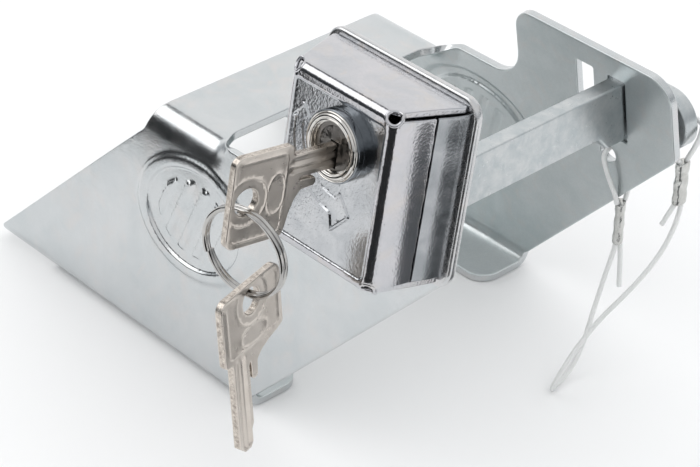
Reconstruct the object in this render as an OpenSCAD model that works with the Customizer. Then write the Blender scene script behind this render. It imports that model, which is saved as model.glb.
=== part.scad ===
// Trailer coupler lock: a folded steel case, a locking bar through both cheeks and a box with a key cylinder.
// X runs along the case, Y across it (the far cheek is at +Y), Z up. The case stands on its two lips at Z = 0.

/* [Case] */
// Thickness of the folded sheet
sheet = 2.5; // [2:0.5:3]
// Half the width across the roof
roof_half = 43; // [40:1:46]
// Height of the roof
roof_z = 66; // [64:1:68]
// Outward lean of each cheek, in degrees
flare = 9.5; // [8:0.5:10]
// Width of each lip, from the outside of the case
lip_w = 20; // [16:1:22]
// Length of the roof strip
roof_len = 23.6; // [20:0.2:26]
// Height of the top of the horns
horn_z = 92.5; // [90:0.5:94]
// Width of each slot
slot_w = 6; // [5.8:0.1:6.4]

/* [Locking bar] */
// Thickness of the bar
bar_t = 5; // [4.6:0.1:5.2]
// Height of the bar
bar_h = 14.2; // [13:0.2:14.2]
// Where the bar's middle lies along the case
bar_x = 66.3; // [66:0.1:66.6]
// Reach of the bent end along the case
hook_len = 18.2; // [17:0.2:19]

/* [Lock box] */
// Width of the rim
rim_w = 52; // [50:1:54]
// Height of the rim
rim_h = 50; // [48:1:52]
// Width of the front panel
front_w = 35; // [34:1:36]
// Height of the front panel
front_h = 48; // [46:1:48]
// Depth of the box
box_d = 22.5; // [22:0.5:23]
// Thickness of the cover's sheet
cover_t = 1.5; // [1.2:0.1:1.6]

/* [Cylinder and keys] */
// Diameter of the cylinder's head
head_d = 18; // [17.5:0.5:18.5]
// Thickness of a key
key_t = 2.2; // [2:0.1:2.4]
// Outer diameter of the split ring
ring_d = 24; // [23:0.5:25]

/* [Hidden] */
$fn = 48;

// Case: places along X, heights and radii
tip_x = -86;
roof_x0 = -26;
lip_x0 = -62;
lip_x1 = 26;
shoulder = [86, 68.5];
cut_z = 68;
horn_x = 30;
bend_r = 5;
notch_r = 10;
roof_r = 6.5;
lip_r = 8;
slot_z = [66.5, 86];
slot_pitch = 11.2;
cable_hole = [62, 59.7];
cable_hole_d = 5.5;
oval = [45.4, 32.4];
oval_near = [-4, -23.2];
oval_far = [12, -20.7];
oval_rise = 0.7;
wide = 130;

// Bar: heights, shoulder and notch
bar_top = 85.2;
bar_nose = -58;
hook_y = 45.4;
hook_r = 3;
shoulder_z = 67;
eye_hole = [78.5, 73];
eye_hole_d = 5.5;
notch_n = [5.2, 8.8];
notch_u = 15.4;

// Lock box, in the frame of the near cheek's outer face: x, up the slope, and out from the face
box_x = 63.5;
box_u = 27;
rim_r = 5;
rim_n = [0.3, 2.8];
seam_n = 11;
cyl_x = 66.5;
cyl_u = 36;

// Cylinder: distances out from the near cheek's face
head_n = 26.2;
housing_n = 8.6;
body_d = 16;
plug_d = 12;
cam_n = [6, 8];
cam_len = 20.5;

// Key: bow, blade and hole, measured along and across it
bow = [18, 23.5];
blade = [26, 6.2];
bow_n = 38;
bow_up = 3.8;
key_drop = 2.1;
hole_in = 4.7;
hole_d = 6.9;
wire_d = 1.3;
hang = 2.35;
ring_turn = 10.8;
spare_turn = 14.7;
spare_lean = 4.5;

// Lanyard
cable_d = 1.4;
cable_sides = 8;
ferrule = [4.8, 3, 13];
case_ferrule_at = [65.2, 45.1, 31];
bar_ferrule_at = [82.5, 48, 51];
run_route = [[65.1, 44.7, 31], [65.4, 43.2, 27.5], [66.2, 40.4, 23.6], [67.2, 37.2, 19.2], [68.6, 33.4, 14.4],
    [70, 29.8, 9.8], [70.8, 26.6, 5.8], [71.4, 23.2, 2.8], [72, 19.4, 1.2], [72.6, 16, 0.9], [73.6, 13.6, 1.3],
    [74.6, 13.2, 3.8], [74.9, 15.4, 7.2], [75, 19.2, 11.2], [75.6, 23.6, 15.6], [77, 27.6, 20.4],
    [79.2, 31.6, 25.4], [80.8, 35.4, 29.6], [82, 39.2, 33.8], [82.8, 43.4, 39], [82.9, 46.8, 44.4],
    [82.6, 48.6, 48.4], [82.5, 49, 50.8]];
case_loop_route = [[65.1, 43.6, 44], [65.1, 42.4, 47.5], [64.5, 40.9, 51.5], [63.2, 39.8, 56.5],
    [62.2, 40.1, 59.5], [62, 42.8, 60.8], [62.2, 45.5, 59.6], [63.2, 46.8, 56.5], [64.4, 47.5, 51.5],
    [65.1, 47.7, 47.5], [65.3, 46.6, 44]];
case_tail_route = [[65.6, 45.7, 31], [66, 45.9, 26], [66.3, 45.9, 21], [66.8, 45.6, 16.8]];
bar_loop_route = [[82.4, 47, 64], [82, 44.6, 67], [80.4, 44.2, 70.5], [78.7, 44.6, 73.2], [78.5, 48, 74],
    [79.1, 51.6, 74.2], [81.6, 52.3, 74.9], [84.6, 51.6, 74.6], [86, 49.4, 72.4], [85.8, 47.6, 69.4],
    [84.3, 47.9, 66.4], [82.8, 49, 64]];
bar_tail_route = [[82.2, 46.9, 51], [81.2, 45.6, 47.6], [80.2, 44.6, 44.4]];

function arc(c, r, a0, a1, n = 8) = [for (i = [0:n])
    let (a = a0 + (a1 - a0) * i / n) [c[0] + r * cos(a), c[1] + r * sin(a)]];
function cheek_y(z) = roof_half + (roof_z - z) * tan(flare);
function top_c() = [roof_half + (bend_r * sin(flare) - bend_r) / cos(flare), roof_z - bend_r];
function foot_c() = [roof_half + ((roof_z - bend_r) * sin(flare) - bend_r) / cos(flare), bend_r];
function foot_w() = cheek_y(0);

// Frames: on the near cheek's outer face, and along the cylinder's axis with z pointing out
module on_near() translate([0, -roof_half, roof_z]) rotate([-flare, 0, 0]) children();
module on_axis() on_near() translate([cyl_x, 0, cyl_u]) rotate([90, 0, 0]) children();
module both_sides() {
    children();
    mirror([0, 1, 0]) children();
}
module slab(x0, x1) translate([x0, 0, 0]) rotate([90, 0, 90]) linear_extrude(x1 - x0) children();
module across() translate([0, wide / 2, 0]) rotate([90, 0, 0]) linear_extrude(wide) children();

// Tube through a list of points, smoothed between them
function smooth(p, k = 2) = [for (i = [0:len(p) - 2]) for (j = [0:k - 1])
    let (t = j / k, a = p[max(i - 1, 0)], b = p[i], c = p[i + 1], d = p[min(i + 2, len(p) - 1)])
    0.5 * (2 * b + (c - a) * t + (2 * a - 5 * b + 4 * c - d) * t * t + (3 * b - a - 3 * c + d) * t * t * t)];
function whole(p, k) = concat(smooth(p, k), [p[len(p) - 1]]);
function along(p, i) = let (v = p[min(i + 1, len(p) - 1)] - p[max(i - 1, 0)]) v / norm(v);
function unit(v) = v / norm(v);
function square_to(u, t) = unit(u - (u * t) * t);
function sides_of(p) = [for (i = 0, u = square_to([0.31, 0.9, 0.2], along(p, 0)); i < len(p);
    i = i + 1, u = square_to(u, along(p, min(i, len(p) - 1)))) u];
module tube(route, k = 2) {
    p = whole(route, k);
    s = cable_sides;
    us = sides_of(p);
    pts = [for (i = [0:len(p) - 1]) let (b = cross(along(p, i), us[i]))
        for (j = [0:s - 1]) p[i] + cable_d / 2 * (cos(360 * j / s) * us[i] + sin(360 * j / s) * b)];
    sides = [for (i = [0:len(p) - 2]) for (j = [0:s - 1])
        [i * s + j, i * s + (j + 1) % s, (i + 1) * s + (j + 1) % s, (i + 1) * s + j]];
    ends = [[for (j = [s - 1:-1:0]) j], [for (j = [0:s - 1]) (len(p) - 1) * s + j]];
    polyhedron(pts, concat(sides, ends));
}

// Case: half sections in Y and Z, with and without the roof
function foot_out() = concat(arc(foot_c(), bend_r, flare, -90), [[foot_w() - lip_w, 0]]);
function foot_in() = concat([[foot_w() - lip_w, sheet]], arc(foot_c(), bend_r - sheet, -90, flare));
module half_roofed() polygon(concat([[0, roof_z]], arc(top_c(), bend_r, 90, flare), foot_out(), foot_in(),
    arc(top_c(), bend_r - sheet, flare, 90), [[0, roof_z - sheet]]));
module half_open() {
    top = horn_z + 10;
    polygon(concat([[cheek_y(top), top]], foot_out(), foot_in(), [[cheek_y(top) - sheet / cos(flare), top]]));
}
module roofed_part() slab(roof_x0, roof_x0 + roof_len) {
    half_roofed();
    mirror([1, 0]) half_roofed();
}
module side_outline() {
    x1 = roof_x0 + roof_len;
    left_z = roof_z * (roof_x0 - tip_x) / (roof_x0 + 1.5 - tip_x);
    polygon([[tip_x, 0], [tip_x, 1.5], [roof_x0, left_z], [roof_x0, 0]]);
    polygon(concat([[x1, 0], [x1, cut_z]],
        arc([horn_x - notch_r, cut_z + notch_r], notch_r, -90, 0),
        arc([horn_x + 6, horn_z - 6], 6, 180, 90),
        arc([shoulder[0] - 9, horn_z - 8], 8, 90, 0),
        [shoulder, [lip_x1, 4.3], [lip_x1, 0]]));
}
module slots() for (i = [0, 1])
    translate([bar_x - slot_w / 2 - i * slot_pitch, slot_z[0]]) square([slot_w, slot_z[1] - slot_z[0]]);
module lip_trim() {
    inner = foot_w() - lip_w;
    half = foot_c()[0] + 1;
    translate([tip_x - 2, -half, -1]) cube([lip_x0 - tip_x + 2, 2 * half, 5]);
    for (s = [-1, 1], e = [[lip_x0, 1], [lip_x1, -1]])
        translate([e[0] + e[1] * lip_r, s * (inner + lip_r), -1]) linear_extrude(5)
            difference() {
                mirror([e[1] > 0 ? 1 : 0, 0]) mirror([0, s > 0 ? 1 : 0]) square(lip_r + 1);
                circle(lip_r);
            }
}
module oval_pad(at) on_near() translate([at[0], 0.3, at[1]]) rotate([90, 0, 0]) linear_extrude(0.3 + oval_rise)
    polygon([for (a = [0:7.5:359]) [oval[0] / 2 * cos(a), oval[1] / 2 * sin(a)]]);
module roof_corner() translate([roof_x0 + roof_len - 0.5, top_c()[0] + 2 - roof_r, roof_z - sheet])
    linear_extrude(sheet) difference() {
        square(roof_r + 0.5);
        translate([roof_r + 0.5, 0]) circle(roof_r);
    }
module case() color([0.74, 0.77, 0.79]) difference() {
    union() {
        roofed_part();
        intersection() {
            union() {
                slab(tip_x, roof_x0) both_half_open();
                slab(roof_x0 + roof_len, shoulder[0]) both_half_open();
            }
            across() side_outline();
        }
        oval_pad(oval_near);
        mirror([0, 1, 0]) oval_pad(oval_far);
        both_sides() roof_corner();
    }
    across() slots();
    lip_trim();
    translate([cable_hole[0], 60, cable_hole[1]]) rotate([90, 0, 0]) cylinder(d = cable_hole_d, h = 40);
}
module both_half_open() {
    half_open();
    mirror([1, 0]) half_open();
}

// Bar: straight length with its shoulder, a quarter bend and the bent end
module bar_side() {
    b = bar_top - bar_h;
    straight = hook_y - hook_r;
    polygon([[bar_nose, b + 5.5], [bar_nose + 2, b + 3.5], [-46, b + 3.5], [-42.5, b], [30, b],
        [33.3, shoulder_z], [straight, shoulder_z],
        [straight, bar_top], [bar_nose + 2, bar_top], [bar_nose, bar_top - 2]]);
}
module hook_end() {
    r = 6;
    x0 = bar_x + bar_t / 2 + hook_r;
    x1 = bar_x + hook_len;
    difference() {
        polygon(concat([[x0, shoulder_z]], arc([x1 - r, shoulder_z + r], r, -90, 0),
            arc([x1 - r, bar_top - r], r, 0, 90), [[x0, bar_top]]));
        translate(eye_hole) circle(d = eye_hole_d);
    }
}
module locking_bar() color([0.78, 0.80, 0.81]) {
    corner = [bar_x + bar_t / 2 + hook_r, hook_y - hook_r, shoulder_z];
    difference() {
        union() {
            slab(bar_x - bar_t / 2, bar_x + bar_t / 2) bar_side();
            translate(corner) rotate([0, 0, 90]) rotate_extrude(angle = 90)
                translate([hook_r, 0]) square([bar_t, bar_top - shoulder_z]);
            translate([0, hook_y + bar_t, 0]) rotate([90, 0, 0]) linear_extrude(bar_t) hook_end();
        }
        on_near() translate([bar_x - bar_t, -notch_n[1], notch_u])
            cube([2 * bar_t, notch_n[1] - notch_n[0], 10]);
    }
}

// Lock box: a tapered shell shared by the tray and the cover
module rounded(w, h, r) {
    square([w - 2 * r, h], center = true);
    square([w, h - 2 * r], center = true);
    for (x = [-1, 1], y = [-1, 1]) translate([x * (w / 2 - r), y * (h / 2 - r)]) circle(r);
}
module box_frame() on_near() translate([box_x, 0, box_u]) rotate([90, 0, 0]) children();
module tapered(inset, top) intersection() {
    translate([0, rim_h / 2, 0]) rotate([90, 0, 0]) linear_extrude(rim_h)
        polygon([[-rim_w / 2 + 2 + inset, rim_n[1]], [-front_w / 2 + inset, top],
            [front_w / 2 - inset, top], [rim_w / 2 - 2 - inset, rim_n[1]]]);
    translate([-rim_w / 2, 0, 0]) rotate([90, 0, 90]) linear_extrude(rim_w)
        polygon([[-rim_h / 2 + 2 + inset, rim_n[1]], [-front_h / 2 + inset, top],
            [front_h / 2 - inset, top], [rim_h / 2 - 2 - inset, rim_n[1]]]);
}
module shell() difference() {
    tapered(0, box_d);
    difference() {
        tapered(cover_t, box_d);
        translate([-rim_w / 2, -rim_h / 2, box_d - cover_t]) cube([rim_w, rim_h, 5]);
    }
}
module side_bands(n) for (s = [-1, 1])
    translate([s * (rim_w / 2 - 3.5) - 6, -rim_h / 2 + 6, rim_n[1]]) cube([12, rim_h - 12, n - rim_n[1]]);
module box_tray() color([0.70, 0.73, 0.76]) difference() {
    box_frame() {
        translate([0, 0, rim_n[0]]) linear_extrude(rim_n[1] - rim_n[0]) rounded(rim_w, rim_h, rim_r);
        intersection() {
            shell();
            side_bands(seam_n);
        }
    }
    translate([bar_x - slot_w / 2, -60, bar_top - bar_h - 0.6]) cube([slot_w, 30, bar_h + 1.2]);
}
module box_cover() color([0.76, 0.79, 0.82]) box_frame() difference() {
    shell();
    side_bands(seam_n + 0.2);
    translate([cyl_x - box_x, cyl_u - box_u, box_d - 5]) cylinder(d = body_d + 0.2, h = 10);
}

// Lock cylinder: everything is turned about the cylinder's axis
module ring_at(d0, d1, n0, n1) translate([0, 0, n0]) difference() {
    cylinder(d = d1, h = n1 - n0);
    translate([0, 0, -1]) cylinder(d = d0, h = n1 - n0 + 2);
}
module cylinder_housing() color([0.72, 0.71, 0.69]) on_axis()
    ring_at(plug_d + 0.1, body_d, housing_n, head_n - 1.2);
module bezel_ring() color([0.80, 0.80, 0.79]) on_axis() {
    ring_at(body_d, head_d, box_d, head_n - 1.2);
    ring_at(plug_d + 0.6, head_d, head_n - 1.2, head_n);
}
module cylinder_nut() color([0.66, 0.66, 0.64]) on_axis() translate([0, 0, 17]) difference() {
    cylinder(d = 21, h = 3, $fn = 6);
    translate([0, 0, -1]) cylinder(d = body_d, h = 5);
}
module tooth_washer() color([0.60, 0.60, 0.60]) on_axis() ring_at(body_d + 0.1, 20.4, 20.1, box_d - cover_t);
module keyway(n, h, gap = 0.3) translate([-key_t / 2 - gap, -key_drop - blade[1] / 2 - gap, n])
    cube([key_t + 2 * gap, blade[1] + 2 * gap, h]);
module plug() color([0.62, 0.60, 0.57]) on_axis() difference() {
    union() {
        translate([0, 0, 10]) cylinder(d = plug_d, h = head_n - 1.6 - 10);
        translate([0, 0, 3.4]) cylinder(d = 6, h = 6.7);
    }
    keyway(9.6, 20);
    for (i = [0:4]) translate([-2.4, -5.3, 12.4 + i * 2.5]) cube([4.8, 10.6, 1.2]);
}
module wafers() color([0.76, 0.64, 0.36]) on_axis() for (i = [0:4]) difference() {
    translate([-2.3, -5.2, 12.5 + i * 2.5]) cube([4.6, 10.4, 1]);
    keyway(8, 30, 0.35);
}
module wafer_springs() color([0.55, 0.55, 0.55]) on_axis() for (i = [0:4])
    translate([0, 3, 11.95 + i * 2.5]) rotate([90, 0, 0]) cylinder(d = 0.8, h = 3, center = true);
module retaining_clip() color([0.5, 0.5, 0.5]) on_axis() ring_at(6, 9.4, housing_n + 0.1, housing_n + 0.9);
module cam() color([0.72, 0.72, 0.70]) on_axis() difference() {
    translate([0, 0, cam_n[0]]) linear_extrude(cam_n[1] - cam_n[0]) {
        circle(6);
        translate([-cam_len + 3, -3.5]) square([cam_len - 3, 7]);
        translate([-cam_len + 3.5, 0]) circle(3.5);
    }
    translate([0, 0, cam_n[0] - 1]) cylinder(d = 6, h = 4);
}
module cam_washer() color([0.6, 0.6, 0.6]) on_axis() ring_at(6, 10, 5.3, cam_n[0]);
module cam_nut() color([0.66, 0.66, 0.64]) on_axis() translate([0, 0, 3.3]) difference() {
    cylinder(d = 11, h = 2, $fn = 6);
    translate([0, 0, -1]) cylinder(d = 6, h = 4);
}

// Keys: flat, with the outer end of the bow at x = 0 and the tip at +x
// One outline: round the bow, then out along the blade and back along the prong beside it
function key_outline() = let (w = bow[1] / 2, l = bow[0], r = 2.6, e = l + blade[0],
    top = w - bow_up - key_drop + blade[1] / 2)
    concat(arc([r, r - w], r, 270, 180), arc([r, w - r], r, 180, 90), arc([l - 1.4, w - 1.4], 1.4, 90, 0), [
        [l, top], [e - 2, top], [e, top - 2], [e, top - 4.4], [e - 1.4, top - 5.4], [e - 5, top - 5.4],
        [e - 6.4, top - blade[1]], [l + 3.4, top - blade[1]], [l + 2.6, top - blade[1] - 0.4],
        [l + 3, top - 6.9], [l + 7.4, top - 7.1], [l + 8, top - 7.7], [l + 8, top - 8.7], [l + 7.4, top - 9.3],
        [l + 3.4, top - 9.6], [l + 1.8, top - 11.8], [l + 0.6, top - 15], [l, top - 18], [l - 1, -w]]);
module key_solid() translate([0, 0, -key_t / 2]) difference() {
    linear_extrude(key_t) polygon(key_outline());
    translate([hole_in, 0, -1]) cylinder(d = hole_d, h = key_t + 2);
}
module key() color([0.72, 0.68, 0.62]) on_axis()
    translate([0, -bow[1] / 2 + bow_up, bow_n + bow[0]]) rotate([0, 90, 0]) key_solid();

// The ring hangs in the key's hole, and the spare key hangs on the ring
hole_n = bow_n + bow[0] - hole_in;
hole_u = cyl_u - bow[1] / 2 + bow_up;
hole_at = [cyl_x, -roof_half + hole_u * sin(flare) - hole_n * cos(flare),
    roof_z + hole_u * cos(flare) + hole_n * sin(flare)];
ring_r = ring_d / 2 - wire_d / 2;
ring_c = hole_at + [0.3, 0, -hang - ring_r];
spare_hole = ring_c + [0.2, 0.8, -ring_r - hang];
module key_ring() color([0.72, 0.72, 0.71]) translate(ring_c) rotate([90, 0, ring_turn]) for (s = [-1, 1])
    rotate_extrude() translate([ring_r, s * wire_d * 0.48]) circle(d = wire_d, $fn = 16);
module spare_key() color([0.70, 0.66, 0.61]) translate(spare_hole) rotate([0, -spare_lean, spare_turn])
    translate([0, 0, hole_in]) rotate([0, 90, 0]) mirror([0, 1, 0]) key_solid();

// Lanyard: ferrules, the free run, and an eye and a tail at each end
module sleeve(at) translate(at) linear_extrude(ferrule[2]) {
    square([ferrule[1] * 0.99, ferrule[0] - ferrule[1]], center = true);
    for (s = [-1, 1]) translate([0, s * (ferrule[0] - ferrule[1]) / 2]) circle(d = ferrule[1]);
}
module case_ferrule() color([0.70, 0.70, 0.69]) sleeve(case_ferrule_at);
module bar_ferrule() color([0.76, 0.76, 0.74]) sleeve(bar_ferrule_at);
module lanyard_run() color([0.86, 0.87, 0.86]) tube(run_route);
module case_loop() color([0.86, 0.87, 0.86]) {
    tube(case_loop_route);
    tube(case_tail_route);
}
module bar_loop() color([0.86, 0.87, 0.86]) {
    tube(bar_loop_route);
    tube(bar_tail_route);
}

case();
locking_bar();
box_tray();
box_cover();
cylinder_housing();
bezel_ring();
cylinder_nut();
tooth_washer();
plug();
wafers();
wafer_springs();
retaining_clip();
cam();
cam_washer();
cam_nut();
key();
key_ring();
spare_key();
case_ferrule();
bar_ferrule();
lanyard_run();
case_loop();
bar_loop();
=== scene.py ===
"""Looks of the trailer coupler lock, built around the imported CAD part.

Lengths in the tables below are in millimetres, in the row frame: X along the case, Y across it, Z up.
Every sheet metal piece is drawn flat, as it would be cut, and then folded into place.
"""

import math

import bmesh
import bpy
import numpy as np
from mathutils import Matrix, Vector, noise
from mathutils.geometry import delaunay_2d_cdt


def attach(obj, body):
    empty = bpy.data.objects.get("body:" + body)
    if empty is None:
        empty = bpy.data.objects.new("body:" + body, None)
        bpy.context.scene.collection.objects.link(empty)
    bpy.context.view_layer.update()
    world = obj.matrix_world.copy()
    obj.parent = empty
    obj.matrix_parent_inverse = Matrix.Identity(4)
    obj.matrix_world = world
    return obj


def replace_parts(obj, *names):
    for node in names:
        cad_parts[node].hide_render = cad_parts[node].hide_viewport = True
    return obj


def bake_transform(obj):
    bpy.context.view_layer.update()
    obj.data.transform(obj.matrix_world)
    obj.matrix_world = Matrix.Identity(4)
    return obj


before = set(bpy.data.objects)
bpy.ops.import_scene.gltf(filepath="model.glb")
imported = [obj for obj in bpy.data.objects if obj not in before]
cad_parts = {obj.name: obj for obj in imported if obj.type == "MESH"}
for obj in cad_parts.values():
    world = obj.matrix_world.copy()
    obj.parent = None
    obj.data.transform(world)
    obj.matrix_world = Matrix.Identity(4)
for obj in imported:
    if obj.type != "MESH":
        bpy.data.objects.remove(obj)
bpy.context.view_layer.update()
MM = 0.001

# ---------------------------------------------------------------- camera
AZIMUTH, ELEVATION, ROLL = (math.radians(a) for a in (46.93, 33.91, 1.245))


def make_camera(place, lens):
    right = Vector((math.cos(AZIMUTH), math.sin(AZIMUTH), 0))
    ahead = Vector((
        -math.sin(AZIMUTH) * math.cos(ELEVATION),
        math.cos(AZIMUTH) * math.cos(ELEVATION),
        -math.sin(ELEVATION),
    ))
    up = right.cross(ahead)
    r = right * math.cos(ROLL) + up * math.sin(ROLL)
    u = up * math.cos(ROLL) - right * math.sin(ROLL)
    data = bpy.data.cameras.new("camera")
    data.lens, data.sensor_width = lens, 36
    data.clip_start, data.clip_end = 0.01, 20
    cam = bpy.data.objects.new("camera", data)
    cam.matrix_world = Matrix.Translation(Vector(place) * MM) @ Matrix((r, u, -ahead)).transposed().to_4x4()
    bpy.context.scene.collection.objects.link(cam)
    bpy.context.scene.camera = cam


make_camera((439.3, -404.2, 421.7), 132.2)


# ---------------------------------------------------------------- mesh tools
BATCH = 3000


def build(name, verts, faces, material=None, sharp=38):
    """A smooth-shaded mesh object from points in millimetres."""
    mesh = bpy.data.meshes.new(name)
    mesh.from_pydata((np.asarray(verts, float) * MM).tolist(), [], faces)
    mesh.validate()
    mesh.polygons.foreach_set("use_smooth", [True] * len(mesh.polygons))
    mesh.set_sharp_from_angle(angle=math.radians(sharp))
    obj = bpy.data.objects.new(name, mesh)
    bpy.context.scene.collection.objects.link(obj)
    if material:
        mesh.materials.append(material)
    return obj


def rounded(*corners, step=9):
    """A closed outline through corners (x, y, radius), each one rounded by its radius."""
    out = []
    n = len(corners)
    for i, (x, y, r) in enumerate(corners):
        p, a, b = (np.array(corners[j % n][:2], float) for j in (i, i - 1, i + 1))
        u, v = (a - p) / np.linalg.norm(a - p), (b - p) / np.linalg.norm(b - p)
        turn = math.acos(np.clip(u @ v, -1, 1))
        if r <= 0 or turn > math.pi - 0.02:
            out.append(tuple(p))
            continue
        reach = r / math.tan(turn / 2)
        middle = p + (u + v) / np.linalg.norm(u + v) * r / math.sin(turn / 2)
        start, end = p + u * reach - middle, p + v * reach - middle
        a0 = math.atan2(start[1], start[0])
        sweep = (math.atan2(end[1], end[0]) - a0 + math.pi) % (2 * math.pi) - math.pi
        k = max(2, math.ceil(abs(math.degrees(sweep)) / step))
        angles = (a0 + sweep * j / k for j in range(k + 1))
        out += [tuple(middle + r * np.array([math.cos(a), math.sin(a)])) for a in angles]
    return out


def circle(x, y, r, n=32, ry=None):
    """n points round a circle, or round an ellipse when ry is given."""
    angles = (2 * math.pi * i / n for i in range(n))
    return [(x + r * math.cos(a), y + (ry or r) * math.sin(a)) for a in angles]


def wound(loop, left):
    """The outline as an array, running anticlockwise if left is true."""
    p = np.array(loop, float)
    q = np.roll(p, -1, 0)
    area = (p[:, 0] * q[:, 1] - q[:, 0] * p[:, 1]).sum()
    return p if (area > 0) == left else p[::-1].copy()


def inset(p, d):
    """The outline moved by d into the material, which is on its left."""
    b = np.roll(p, -1, 0) - p
    b /= np.linalg.norm(b, axis=1)[:, None]
    nb = np.stack([-b[:, 1], b[:, 0]], 1)
    m = nb + np.roll(nb, 1, 0)
    m /= np.linalg.norm(m, axis=1)[:, None]
    return p + m * (d / np.clip((m * nb).sum(1), 0.4, 1))[:, None]


def segments(loops):
    """The start and end points of all the edges of the outlines."""
    return np.concatenate(loops), np.concatenate([np.roll(p, -1, 0) for p in loops])


def edge_distance(pts, loops):
    """How far each point is from the nearest outline, in batches to save memory."""
    a, b = segments(loops)
    d = b - a
    dd = (d * d).sum(1)
    out = np.empty(len(pts))
    for i in range(0, len(pts), BATCH):
        w = pts[i:i + BATCH, None] - a[None]
        t = np.clip((w * d).sum(2) / dd, 0, 1)
        out[i:i + BATCH] = np.sqrt(((w - t[..., None] * d) ** 2).sum(2)).min(1)
    return out


def is_inside(pts, loops):
    """Whether each point is within the outlines, by counting the edges to its right."""
    a, b = segments(loops)
    out = np.zeros(len(pts), bool)
    for i in range(0, len(pts), BATCH):
        x, y = pts[i:i + BATCH, 0][:, None], pts[i:i + BATCH, 1][:, None]
        hit = (a[:, 1] > y) != (b[:, 1] > y)
        with np.errstate(divide="ignore", invalid="ignore"):
            at = a[:, 0] + (y - a[:, 1]) * (b[:, 0] - a[:, 0]) / (b[:, 1] - a[:, 1])
        out[i:i + BATCH] = (hit & (x < at)).sum(1) % 2 == 1
    return out


def grid(x0, x1, y0, y1, step):
    xs, ys = np.arange(x0, x1 + step / 2, step), np.arange(y0, y1 + step / 2, step)
    return np.stack(np.meshgrid(xs, ys), -1).reshape(-1, 2)


def divide(loop, step=1.2):
    """The closed outline with points at most step apart."""
    p = np.array(loop, float)
    out = []
    for a, b in zip(p, np.roll(p, -1, 0)):
        k = max(1, math.ceil(np.linalg.norm(b - a) / step))
        out += [a + (b - a) * i / k for i in range(k)]
    return np.array(out)


def paint(obj, faces, mat):
    """Adds mat to the object and gives it to the faces."""
    obj.data.materials.append(mat)
    for face in faces:
        face.material_index = len(obj.data.materials) - 1


def plate(name, loops, points, place, front, back, material, edge=0.35, rings=3, sharp=38,
          part=None, lining=None, low=None, cut=None):
    """A closed sheet cut to loops (an outline, then holes) with rounded edges. front and back give the heights of its
    two faces at (x, y), and place puts (x, y, height) in the row frame.
    part is (material, test), for the area of the front face where test(x, y) is true, and low is the same for the
    back face. lining is the back face's material, and cut is the cut edge's."""
    loops = [wound(divide(p), i == 0) for i, p in enumerate(loops)]
    kept = list(loops)
    for j in range(1, rings + 1):
        kept += [inset(p, edge * (1 - math.cos(j * math.pi / 2 / rings))) for p in loops]
    points = np.asarray(points, float)
    points = points[is_inside(points, loops)]
    points = points[edge_distance(points, loops) > edge * 1.35 + 0.05]
    flat, links = [], []
    for p in kept:
        links += [(len(flat) + i, len(flat) + (i + 1) % len(p)) for i in range(len(p))]
        flat += [Vector(v) for v in p.tolist()]
    flat += [Vector(v) for v in points.tolist()]
    xy, _, tris = delaunay_2d_cdt(flat, links, [], 0, 1e-4)[:3]
    xy = np.array([tuple(v) for v in xy])
    tris = np.array(tris)
    tris = tris[is_inside(xy[tris].mean(1), loops)]
    x, y = xy.T
    away = edge_distance(xy, loops)
    drop = np.where(away < edge, edge - np.sqrt(np.maximum(edge ** 2 - (edge - np.minimum(away, edge)) ** 2, 0)), 0)
    verts = np.concatenate([place(x, y, front(x, y) - drop), place(x, y, back(x, y) + drop)])
    n = len(xy)
    links = {(int(t[k]), int(t[(k + 1) % 3])) for t in tris for k in range(3)}
    rim = [(b, a, a + n, b + n) for a, b in links if (b, a) not in links]
    used = np.unique(tris)
    index = np.full(2 * n, -1)
    index[used], index[used + n] = np.arange(len(used)), np.arange(len(used)) + len(used)
    faces = [*tris.tolist(), *(tris[:, ::-1] + n).tolist(), *rim]
    faces = [[int(index[v]) for v in f] for f in faces]
    obj = build(name, verts[np.concatenate([used, used + n])], faces, material, sharp)
    top, under, sides = np.split(np.array(obj.data.polygons, object), [len(tris), 2 * len(tris)])
    middles = xy[tris].mean(1)
    if part:
        paint(obj, top[part[1](*middles.T)], part[0])
    if lining:
        paint(obj, under, lining)
    if low:
        paint(obj, under[low[1](*middles.T)], low[0])
    if cut:
        paint(obj, sides, cut)
    even = obj.modifiers.new("flat faces stay flat", "WEIGHTED_NORMAL")
    even.keep_sharp, even.weight = True, 80
    face_out(obj)
    return obj


def face_out(obj):
    """Turns the faces of a closed mesh to the outside."""
    bm = bmesh.new()
    bm.from_mesh(obj.data)
    bmesh.ops.recalc_face_normals(bm, faces=bm.faces)
    bm.to_mesh(obj.data)
    bm.free()


def flat_at(height):
    return lambda x, y: np.full(len(x), float(height))


def ease(t):
    t = np.clip(t, 0, 1)
    return t * t * (3 - 2 * t)


def smooth(route, k=4):
    """A smooth curve through the points of the route, with k steps between each pair."""
    p = np.array(route, float)
    q = np.concatenate([p[:1], p, p[-1:]])
    t = (np.arange(k) / k)[:, None]
    out = [
        0.5 * (2 * b + (c - a) * t + (2 * a - 5 * b + 4 * c - d) * t ** 2 + (3 * b - a - 3 * c + d) * t ** 3)
        for a, b, c, d in zip(q, q[1:], q[2:], q[3:])
    ]
    return np.concatenate([*out, p[-1:]])


def resample(p, step):
    """The points of a path set even steps apart."""
    s = np.concatenate([[0], np.cumsum(np.linalg.norm(np.diff(p, axis=0), axis=1))])
    at = np.linspace(0, s[-1], max(2, round(s[-1] / step) + 1))
    return np.stack([np.interp(at, s, p[:, i]) for i in range(3)], 1)


def tube_faces(rows, sides, closed=False):
    """The faces between rows of points that go round a tube, each row with the same number of points."""
    return [
        (i * sides + j, i * sides + (j + 1) % sides, (i + 1) % rows * sides + (j + 1) % sides,
         (i + 1) % rows * sides + j)
        for i in range(rows if closed else rows - 1) for j in range(sides)
    ]


def tube_caps(rows, sides):
    return [tuple(range(sides))[::-1], tuple((rows - 1) * sides + j for j in range(sides))]


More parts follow.
